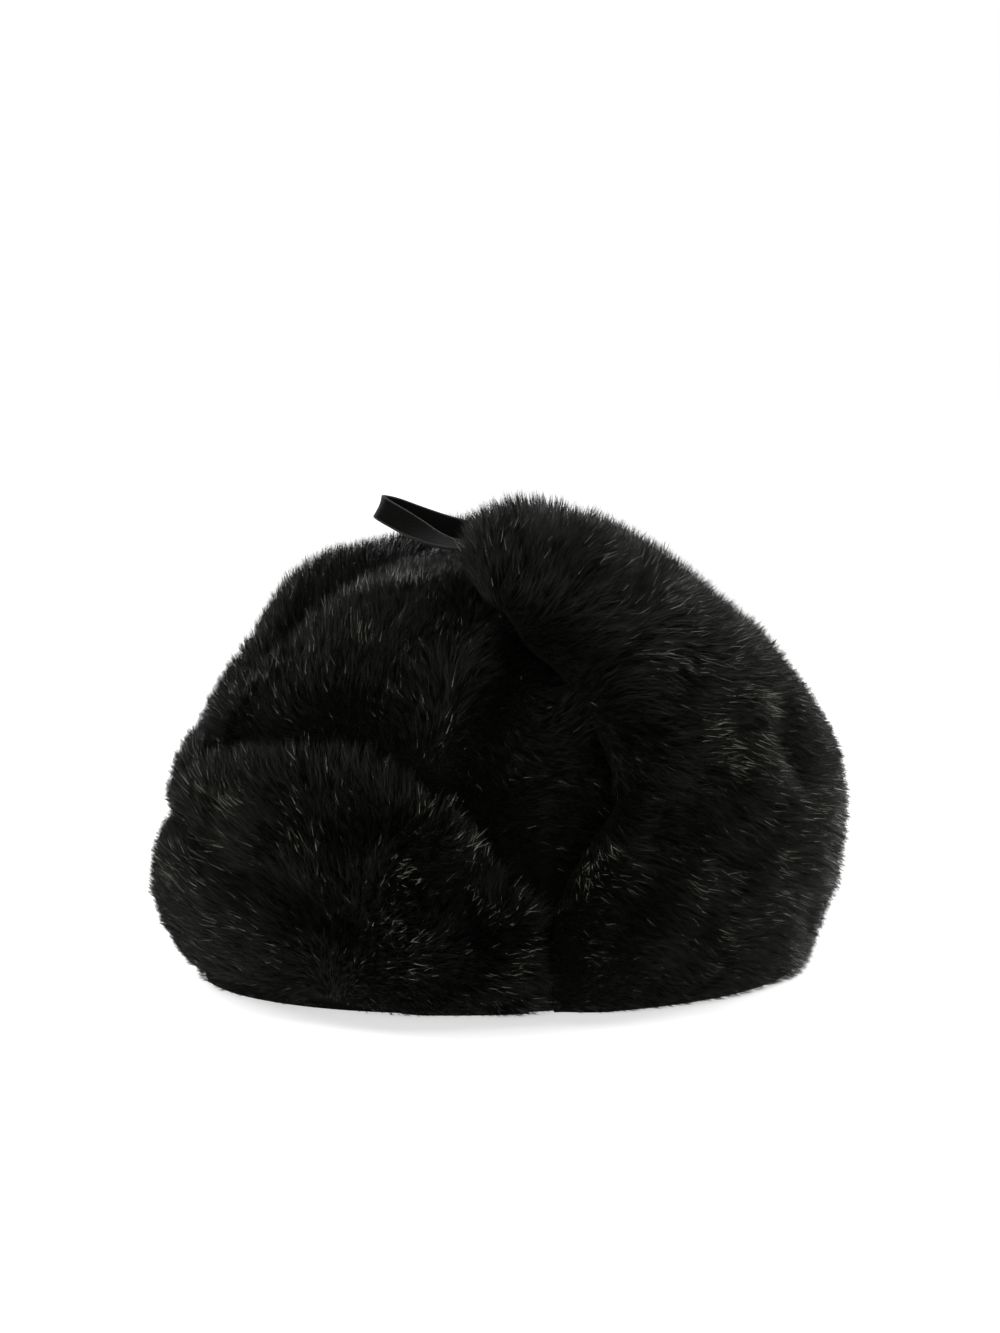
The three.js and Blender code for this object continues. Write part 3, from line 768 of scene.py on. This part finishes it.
def makeBackingMaterial():
    # the plain knitted backing of the fur cloth, which shows inside the hat
    material, tree, shader = newMaterial("knitBacking")
    coordinates = addNode(tree, "ShaderNodeTexCoord").outputs["Object"]
    heights = []
    for direction, scale in (("X", 480.0), ("Z", 620.0)):
        ribs = addNode(tree, "ShaderNodeTexWave", wave_type="BANDS", bands_direction=direction)
        setInputs(ribs, Scale=scale, Distortion=1.5)
        tree.links.new(coordinates, ribs.inputs["Vector"])
        heights.append(ribs.outputs["Fac"])
    knit = mathNode(tree, "MULTIPLY", *heights)
    tree.links.new(mixColors(tree, knit, looks["root"], looks["backing"]), shader.inputs["Base Color"])
    bump = addNode(tree, "ShaderNodeBump")
    setInputs(bump, Strength=0.5, Distance=0.0004)
    tree.links.new(knit, bump.inputs["Height"])
    tree.links.new(bump.outputs["Normal"], shader.inputs["Normal"])
    shader.inputs["Roughness"].default_value = 0.9
    return material


def makeVelvetMaterial():
    # short pile, paler along the ribbon's edges; acrossRibbon is 0 at its middle and 1 at its edges
    material, tree, shader = newMaterial("ribbonVelvet")
    coordinates = addNode(tree, "ShaderNodeTexCoord").outputs["Object"]
    noise = addNode(tree, "ShaderNodeTexNoise")
    setInputs(noise, Scale=1400.0, Detail=4.0)
    tree.links.new(coordinates, noise.inputs["Vector"])
    edge = mathNode(tree, "GREATER_THAN", attributeNode(tree, "acrossRibbon"), 0.86)
    pile = mixColors(tree, noise.outputs["Fac"], looks["undercoat"], looks["velvet"])
    tree.links.new(mixColors(tree, edge, pile, looks["velvetEdge"]), shader.inputs["Base Color"])
    bump = addNode(tree, "ShaderNodeBump")
    setInputs(bump, Strength=0.7, Distance=0.0004)
    tree.links.new(noise.outputs["Fac"], bump.inputs["Height"])
    tree.links.new(bump.outputs["Normal"], shader.inputs["Normal"])
    shader.inputs["Roughness"].default_value = 0.85
    shader.inputs["Specular IOR Level"].default_value = 0.05
    shader.inputs["Sheen Weight"].default_value = 0.015
    shader.inputs["Sheen Roughness"].default_value = 0.35
    shader.inputs["Sheen Tint"].default_value = (0.6, 0.62, 0.66, 1)
    return material


hairMaterial = makeHairMaterial()
undercoatMaterial = makeUndercoatMaterial()
backingMaterial = makeBackingMaterial()
velvetMaterial = makeVelvetMaterial()
print("materials made")


# Tufts: a few kinds of small bundles of bent blades, each of them broadest past its middle

def makeTuft(kind, random):
    points, faces, along, tone, paintedGlintHair = [], [], [], [], []
    length = fur["tuftLength"]
    for blade in range(fur["bladesPerTuft"]):
        angle = random.uniform(0, 2 * math.pi)
        root = np.array([math.cos(angle), math.sin(angle), 0]) * random.uniform(0.1, 1) * 0.0013
        # the first blade of each tuft is longer and thinner, and the hair material may paint a glint on
        # it
        isGuard = blade == 0
        tall = length * (1.12 if isGuard else random.uniform(0.72, 1.04))
        bend = np.array([random.uniform(0.05, 0.32), random.uniform(-0.16, 0.16), 0]) * tall
        flat = random.uniform(0, math.pi)
        wide = np.array([math.cos(flat), math.sin(flat), 0]) * fur["bladeWidth"] / 2
        wide *= 0.4 if isGuard else random.uniform(0.7, 1.1)
        start = len(points)
        own = random.uniform(0, 1)
        for share, width in ((0, 0), (0.55, -1), (0.55, 1), (1, 0)):
            middle = root * (1 - 0.35 * share) + bend * share ** 2 + np.array([0, 0, tall * share])
            points.append(middle + wide * width)
            along.append(share)
            tone.append(own)
            paintedGlintHair.append(float(isGuard))
        faces += [(start, start + 2, start + 1), (start + 1, start + 2, start + 3)]
    mesh = bpy.data.meshes.new(f"tuft{kind}")
    mesh.from_pydata([tuple(p) for p in points], [], faces)
    for key, values in (("along", along), ("bladeTone", tone), ("paintedGlintHair", paintedGlintHair)):
        mesh.attributes.new(key, "FLOAT", "POINT").data.foreach_set("value", values)
    return bpy.data.objects.new(f"tuft{kind}", mesh)


random = np.random.default_rng(fur["seed"])
tufts = bpy.data.collections.new("tufts")
for kind in range(fur["tuftKinds"]):
    tufts.objects.link(makeTuft(kind, random))


# The fur tree: tufts set over a root surface, standing along hairUp and leaning along napSide

def makeFurTree():
    tree = bpy.data.node_groups.new("fur", "GeometryNodeTree")
    face = tree.interface
    face.new_socket("Geometry", in_out="OUTPUT", socket_type="NodeSocketGeometry")
    sockets = {}
    for name, kind, value in (
        ("Geometry", "Geometry", None),
        ("Tufts per square metre", "Float", 500000.0),
        ("Closest tufts", "Float", 0.0006),
        ("Clump size", "Float", 0.007),
        ("Clump lean", "Float", 0.6),
        ("Stray lean", "Float", 0.16),
        ("Length spread", "Float", 0.14),
        ("Seed", "Int", 1),
        ("Tufts", "Collection", None),
        ("Strands", "Material", None),
    ):
        socket = face.new_socket(name, in_out="INPUT", socket_type="NodeSocket" + kind)
        if value is not None:
            socket.default_value = value
        sockets[name] = socket.identifier
    nodes, links = tree.nodes, tree.links
    given = nodes.new("NodeGroupInput").outputs
    result = nodes.new("NodeGroupOutput")

    def make(kind, inputs=(), **settings):
        node = nodes.new(kind)
        for key, value in settings.items():
            setattr(node, key, value)
        for key, value in dict(inputs).items():
            if isinstance(value, bpy.types.NodeSocket):
                links.new(value, node.inputs[key])
            else:
                node.inputs[key].default_value = value
        return node.outputs

    def named(name, kind="FLOAT"):
        return make("GeometryNodeInputNamedAttribute", {"Name": name}, data_type=kind)["Attribute"]

    def vector(operation, a, b=None, scale=None):
        inputs = {0: a}
        if b is not None:
            inputs[1] = b
        if scale is not None:
            inputs["Scale"] = scale
        return make("ShaderNodeVectorMath", inputs, operation=operation)["Vector"]

    def number(operation, a, b):
        return make("ShaderNodeMath", {0: a, 1: b}, operation=operation)["Value"]

    def seedPlus(offset):
        return make("FunctionNodeIntegerMath", {0: given["Seed"], 1: offset}, operation="ADD")["Value"]

    def randomBetween(low, high, offset):
        inputs = {2: low, 3: high, 8: seedPlus(offset)}
        return make("FunctionNodeRandomValue", inputs, data_type="FLOAT")[1]

    points = make("GeometryNodeDistributePointsOnFaces", {
        "Mesh": given["Geometry"], "Distance Min": given["Closest tufts"],
        "Density Max": given["Tufts per square metre"], "Density Factor": named("furDensity"),
        "Seed": given["Seed"],
    }, distribute_method="POISSON")["Points"]

    position = make("GeometryNodeInputPosition")["Position"]
    clumpScale = number("DIVIDE", 1.0, given["Clump size"])
    clumps = make("ShaderNodeTexNoise", {
        "Vector": position, "Scale": clumpScale, "Detail": 1.0,
    })["Color"]
    clumpLean = vector("SCALE", vector("SUBTRACT", clumps, (0.5, 0.5, 0.5)), scale=given["Clump lean"])
    stray = make("FunctionNodeRandomValue", {
        0: (-1.0, -1.0, -1.0), 1: (1.0, 1.0, 1.0), 8: given["Seed"],
    }, data_type="FLOAT_VECTOR")[0]
    strayLean = vector("SCALE", stray, scale=given["Stray lean"])
    standing = vector("ADD", vector("ADD", named("hairUp", "FLOAT_VECTOR"), clumpLean), strayLean)
    turned = make("FunctionNodeAxesToRotation", {
        "Primary Axis": vector("NORMALIZE", standing),
        "Secondary Axis": named("napSide", "FLOAT_VECTOR"),
    }, primary_axis="Z", secondary_axis="X")["Rotation"]
    spin = make("FunctionNodeAxisAngleToRotation", {
        "Axis": (0.0, 0.0, 1.0), "Angle": randomBetween(-1.1, 1.1, 1),
    })["Rotation"]
    turned = make("FunctionNodeRotateRotation", {
        "Rotation": turned, "Rotate By": spin,
    }, rotation_space="LOCAL")["Rotation"]
    spread = make("ShaderNodeMath", {
        0: randomBetween(-1.0, 1.0, 2), 1: given["Length spread"], 2: 1.0,
    }, operation="MULTIPLY_ADD")["Value"]
    scale = number("MULTIPLY", number("DIVIDE", named("hairLength"), fur["tuftLength"]), spread)

    kinds = make("GeometryNodeCollectionInfo", {
        "Collection": given["Tufts"], "Separate Children": True, "Reset Children": True,
    })["Instances"]
    pick = make("FunctionNodeRandomValue", {
        4: 0, 5: fur["tuftKinds"] - 1, 8: seedPlus(3),
    }, data_type="INT")[2]
    placed = make("GeometryNodeInstanceOnPoints", {
        "Points": points, "Instance": kinds, "Pick Instance": True, "Instance Index": pick,
        "Rotation": turned, "Scale": scale,
    })["Instances"]
    toned = make("GeometryNodeStoreNamedAttribute", {
        "Geometry": placed, "Name": "strandTone", "Value": randomBetween(0.0, 1.0, 4),
    }, data_type="FLOAT", domain="INSTANCE")["Geometry"]
    whole = make("GeometryNodeRealizeInstances", {"Geometry": toned})["Geometry"]
    finished = make("GeometryNodeSetMaterial", {
        "Geometry": whole, "Material": given["Strands"],
    })["Geometry"]
    links.new(finished, result.inputs["Geometry"])
    return tree, sockets


furTree, furSockets = makeFurTree()
print("fur tree made")


def growFur(name, mesh, seed, perSquareMetre):
    # the tufts over one root surface, as a plain mesh
    patch = addObject(name + "Roots", mesh)
    modifier = patch.modifiers.new("fur", "NODES")
    modifier.node_group = furTree
    modifier[furSockets["Tufts per square metre"]] = float(perSquareMetre)
    modifier[furSockets["Seed"]] = seed
    modifier[furSockets["Tufts"]] = tufts
    modifier[furSockets["Strands"]] = hairMaterial
    evaluated = patch.evaluated_get(bpy.context.evaluated_depsgraph_get())
    grown = bpy.data.meshes.new_from_object(evaluated)
    patch.modifiers.remove(modifier)
    bpy.data.objects.remove(patch)
    grown.name = name
    points = np.empty(len(grown.vertices) * 3, np.float32)
    grown.vertices.foreach_get("co", points)
    points = points.reshape(-1, 3)
    points[:, 2] = np.maximum(points[:, 2], hat["floorGap"])
    grown.vertices.foreach_set("co", points.ravel())
    grown.update()
    piece = addObject(name, grown)
    print(name, len(grown.loops) - 2 * len(grown.polygons), "triangles")
    return piece


def finishPiece(piece, node):
    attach(piece, "root")
    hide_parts(node)


def makeFurParts(outer, attributes, node, parts, perSquareMetre):
    # the fur over a root surface, in a few pieces from one share of its columns to another
    columns = outer.shape[1] - 1
    for part in parts:
        start, end = round(part["start"] * columns), round(part["end"] * columns) + 1
        cut = {key: values[:, start:end] for key, values in attributes.items()}
        patch = gridMesh(part["name"] + "Roots", [outer[:, start:end]], cut)
        finishPiece(growFur(part["name"], patch, part["seed"], perSquareMetre), node)


# The crown: its pelt with the backing inside, and its fur in two halves

def makeCrown():
    outer, inner, attributes = crownSurface()
    mesh = gridMesh("crown_pelt", [outer, inner])
    mesh.materials.append(undercoatMaterial)
    mesh.materials.append(backingMaterial)
    kinds = np.zeros(len(mesh.polygons), np.int32)
    kinds[crown["cells"] ** 2:] = 1
    mesh.polygons.foreach_set("material_index", kinds)
    finishPiece(addObject("crown_pelt", mesh), "crown")
    makeFurParts(outer, attributes, "crown", [
        {"name": "crown_fur_right", "start": 0, "end": 0.5, "seed": 21},
        {"name": "crown_fur_left", "start": 0.5, "end": 1, "seed": 22},
    ], crown["tuftsPerSquareMetre"])


def makeSheet(node, sheet, surface, parts):
    outer, inner, attributes = surface
    mesh = gridMesh(node + "_pelt", [outer, inner])
    mesh.materials.append(undercoatMaterial)
    finishPiece(addObject(node + "_pelt", mesh), node)
    makeFurParts(outer, attributes, node, parts, sheet["tuftsPerSquareMetre"])


makeCrown()
print("crown made")

visorSurface = sheetSurface(visor, visorPlace, visorTipLift)
makeSheet("visor", visor, visorSurface, [
    {"name": "visor_fur_right", "start": 0, "end": 0.5, "seed": 31},
    {"name": "visor_fur_left", "start": 0.5, "end": 1, "seed": 32},
])
print("visor made")

flapSurface = sheetSurface(flap, flapPlace, flapTipLift)
makeSheet("ear_neck_flap", flap, flapSurface, [
    {"name": "flap_fur_near", "start": 0, "end": 0.36, "seed": 41},
    {"name": "flap_fur_back", "start": 0.36, "end": 0.68, "seed": 42},
    {"name": "flap_fur_far", "start": 0.68, "end": 1, "seed": 43},
])
print("flap made")


# The ribbon loop: a velvet ribbon folded back on itself, standing on edge, from its tails to the fold

loop = {
    "width": 0.009,
    "thickness": 0.0013,
    "steps": 120,
    "route": [
        {"x": 0.029, "y": 0.004, "z": 0.163, "leanSide": -3.2, "leanBack": 1.6},
        {"x": 0.022, "y": -0.002, "z": 0.1615, "leanSide": -3.2, "leanBack": 1.6},
        {"x": 0.015, "y": -0.008, "z": 0.16, "leanSide": -3.2, "leanBack": 1.6},
        {"x": 0.009, "y": -0.016, "z": 0.1605, "leanSide": -2.6, "leanBack": 1.4},
        {"x": 0.004, "y": -0.022, "z": 0.1625, "leanSide": -1.3, "leanBack": 1},
        {"x": -0.001, "y": -0.0275, "z": 0.166, "leanSide": -0.5, "leanBack": 0.6},
        {"x": -0.006, "y": -0.0325, "z": 0.1696, "leanSide": -0.1, "leanBack": 0.5},
        {"x": -0.011, "y": -0.037, "z": 0.173, "leanSide": 0, "leanBack": 0.5},
        {"x": -0.0145, "y": -0.0365, "z": 0.174, "leanSide": 0, "leanBack": 0.5},
        {"x": -0.014, "y": -0.031, "z": 0.173, "leanSide": -0.1, "leanBack": 0.4},
        {"x": -0.0115, "y": -0.0225, "z": 0.1698, "leanSide": -0.1, "leanBack": 0.35},
        {"x": -0.0075, "y": -0.013, "z": 0.1663, "leanSide": 0, "leanBack": 0.35},
        {"x": -0.003, "y": -0.003, "z": 0.1635, "leanSide": 0.1, "leanBack": 0.35},
    ],
}


def makeLoop():
    rows = loop["route"]
    keys = np.arange(len(rows))
    at = np.linspace(0, len(rows) - 1, loop["steps"] + 1)
    centre = np.stack([readTable(keys, column(rows, axis), at) for axis in "xyz"], -1)
    tangent = unit(np.gradient(centre, axis=0))
    leans = [readTable(keys, column(rows, name), at) for name in ("leanSide", "leanBack")]
    across = alongSkin(np.stack(leans + [np.ones_like(at)], -1), tangent)
    outward = np.cross(tangent, across)
    half, thick = loop["width"] / 2, loop["thickness"] / 2
    section = [(1, 0), (0.97, 0.8), (0.86, 1), (0.5, 0.9), (0, 0.86)]
    section += [(-0.5, 0.9), (-0.86, 1), (-0.97, 0.8)]
    section += [(-s, -t) for s, t in section]
    ring = np.stack([centre + across * s * half + outward * t * thick for s, t in section], 1)
    count, sides = ring.shape[:2]
    points = ring.reshape(-1, 3) - np.array(hat["middle"])
    faces = []
    for k in range(count - 1):
        for s in range(sides):
            n = (s + 1) % sides
            faces.append((k * sides + s, k * sides + n, (k + 1) * sides + n, (k + 1) * sides + s))
    faces.append(tuple(range(sides))[::-1])
    faces.append(tuple((count - 1) * sides + s for s in range(sides)))
    mesh = bpy.data.meshes.new("velvet_loop")
    mesh.from_pydata(points.tolist(), [], faces)
    spread = np.tile([abs(s) for s, t in section], count).astype(np.float32)
    mesh.attributes.new("acrossRibbon", "FLOAT", "POINT").data.foreach_set("value", spread)
    mesh.shade_smooth()
    mesh.materials.append(velvetMaterial)
    finishPiece(addObject("velvet_loop", mesh), "strap_loop")


makeLoop()
bpy.data.collections.remove(tufts)
print("loop made")


# Studio: a plain pale floor, a white surround, and soft boxes to both sides and behind

studio = {
    "surround": 0.32,
    "floorReach": 60,
    "floorTone": 0.55,
    "nearGlow": 0.58,
    "farGlow": 1.0,
    "nearReach": 0.25,
    "farReach": 0.9,
    "aim": (0, 0, 0.08),
    "boxes": [
        {"name": "leftBox", "place": (-0.95, -0.5, 0.5), "size": 0.6, "power": 26},
        {"name": "rightBox", "place": (-0.4, 1.05, 0.45), "size": 0.6, "power": 26},
        {"name": "topBox", "place": (-0.35, 0.1, 1.15), "size": 0.7, "power": 16},
        {"name": "frontBox", "place": (1.3, -0.6, 0.9), "size": 1.0, "power": 4},
    ],
}


def makeStudio():
    mesh = bpy.data.meshes.new("floor")
    reach = studio["floorReach"]
    corners = [(-reach, -reach, 0), (reach, -reach, 0), (reach, reach, 0), (-reach, reach, 0)]
    mesh.from_pydata(corners, [], [(0, 1, 2, 3)])
    material, tree, shader = newMaterial("paleFloor")
    tone = studio["floorTone"]
    shader.inputs["Base Color"].default_value = (tone, tone, tone * 0.99, 1)
    shader.inputs["Roughness"].default_value = 0.9
    shader.inputs["Specular IOR Level"].default_value = 0.1
    coordinates = addNode(tree, "ShaderNodeTexCoord").outputs["Object"]
    away = addNode(tree, "ShaderNodeVectorMath", operation="LENGTH")
    tree.links.new(coordinates, away.inputs[0])
    fade = addNode(tree, "ShaderNodeMapRange", interpolation_type="SMOOTHSTEP")
    tree.links.new(away.outputs["Value"], fade.inputs["Value"])
    setInputs(fade, **{"From Min": studio["nearReach"], "From Max": studio["farReach"]})
    near, far = ((glow, glow, glow, 1) for glow in (studio["nearGlow"], studio["farGlow"]))
    glow = mixColors(tree, fade.outputs["Result"], near, far)
    tree.links.new(glow, shader.inputs["Emission Color"])
    shader.inputs["Emission Strength"].default_value = 1.0
    mesh.materials.append(material)
    addObject("floor", mesh)
    for box in studio["boxes"]:
        light = bpy.data.lights.new(box["name"], "AREA")
        light.shape = "DISK"
        light.size = box["size"]
        light.energy = box["power"]
        lamp = bpy.data.objects.new(box["name"], light)
        lamp.location = box["place"]
        aim = Vector(studio["aim"]) - Vector(box["place"])
        lamp.rotation_euler = aim.to_track_quat("-Z", "Y").to_euler()
        bpy.context.scene.collection.objects.link(lamp)
    world = bpy.data.worlds.new("surround")
    world.use_nodes = True
    tree = world.node_tree
    background = tree.nodes["Background"]
    background.inputs["Color"].default_value = (1, 1, 1, 1)
    seen = addNode(tree, "ShaderNodeLightPath").outputs["Is Camera Ray"]
    extra = mathNode(tree, "MULTIPLY", seen, 1 - studio["surround"])
    strength = mathNode(tree, "ADD", extra, studio["surround"])
    tree.links.new(strength, background.inputs["Strength"])
    bpy.context.scene.world = world
    bpy.context.scene.view_settings.view_transform = "Standard"


makeStudio()
print("studio made")
